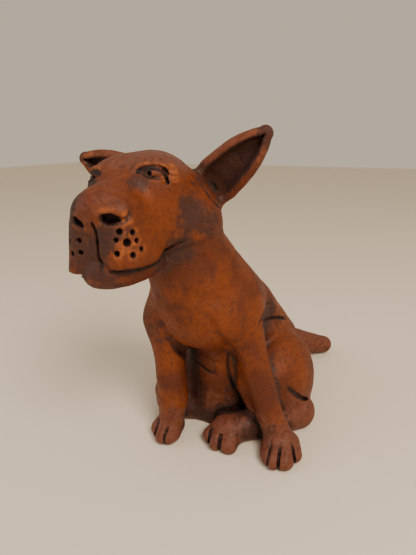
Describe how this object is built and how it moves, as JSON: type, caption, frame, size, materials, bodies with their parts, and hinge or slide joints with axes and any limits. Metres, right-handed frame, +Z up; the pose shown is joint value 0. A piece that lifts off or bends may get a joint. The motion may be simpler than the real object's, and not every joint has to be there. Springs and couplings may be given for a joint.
{
  "type": "terracotta dog sculpture",
  "caption": "Seated dog modelled in fired clay, with a big square muzzle, leaf-shaped ears and a tail laid back along the table; an ornament that stands by its own weight.",
  "frame": {"origin": "centre of the plan of the bounding box, on the table surface that the feet and the seat rest on", "axes": "+X towards the dog's left, -Y the way the dog faces, +Z up; the longest extent, nose to tail, lies along Y"},
  "size_m": [0.2206, 0.3482, 0.2978],
  "materials": {
    "terracotta": "matte fired clay with a dark oxide wash left in the hollows"
  },
  "bodies": {
    "root": {"dog": "terracotta"}
  },
  "joints": []
}
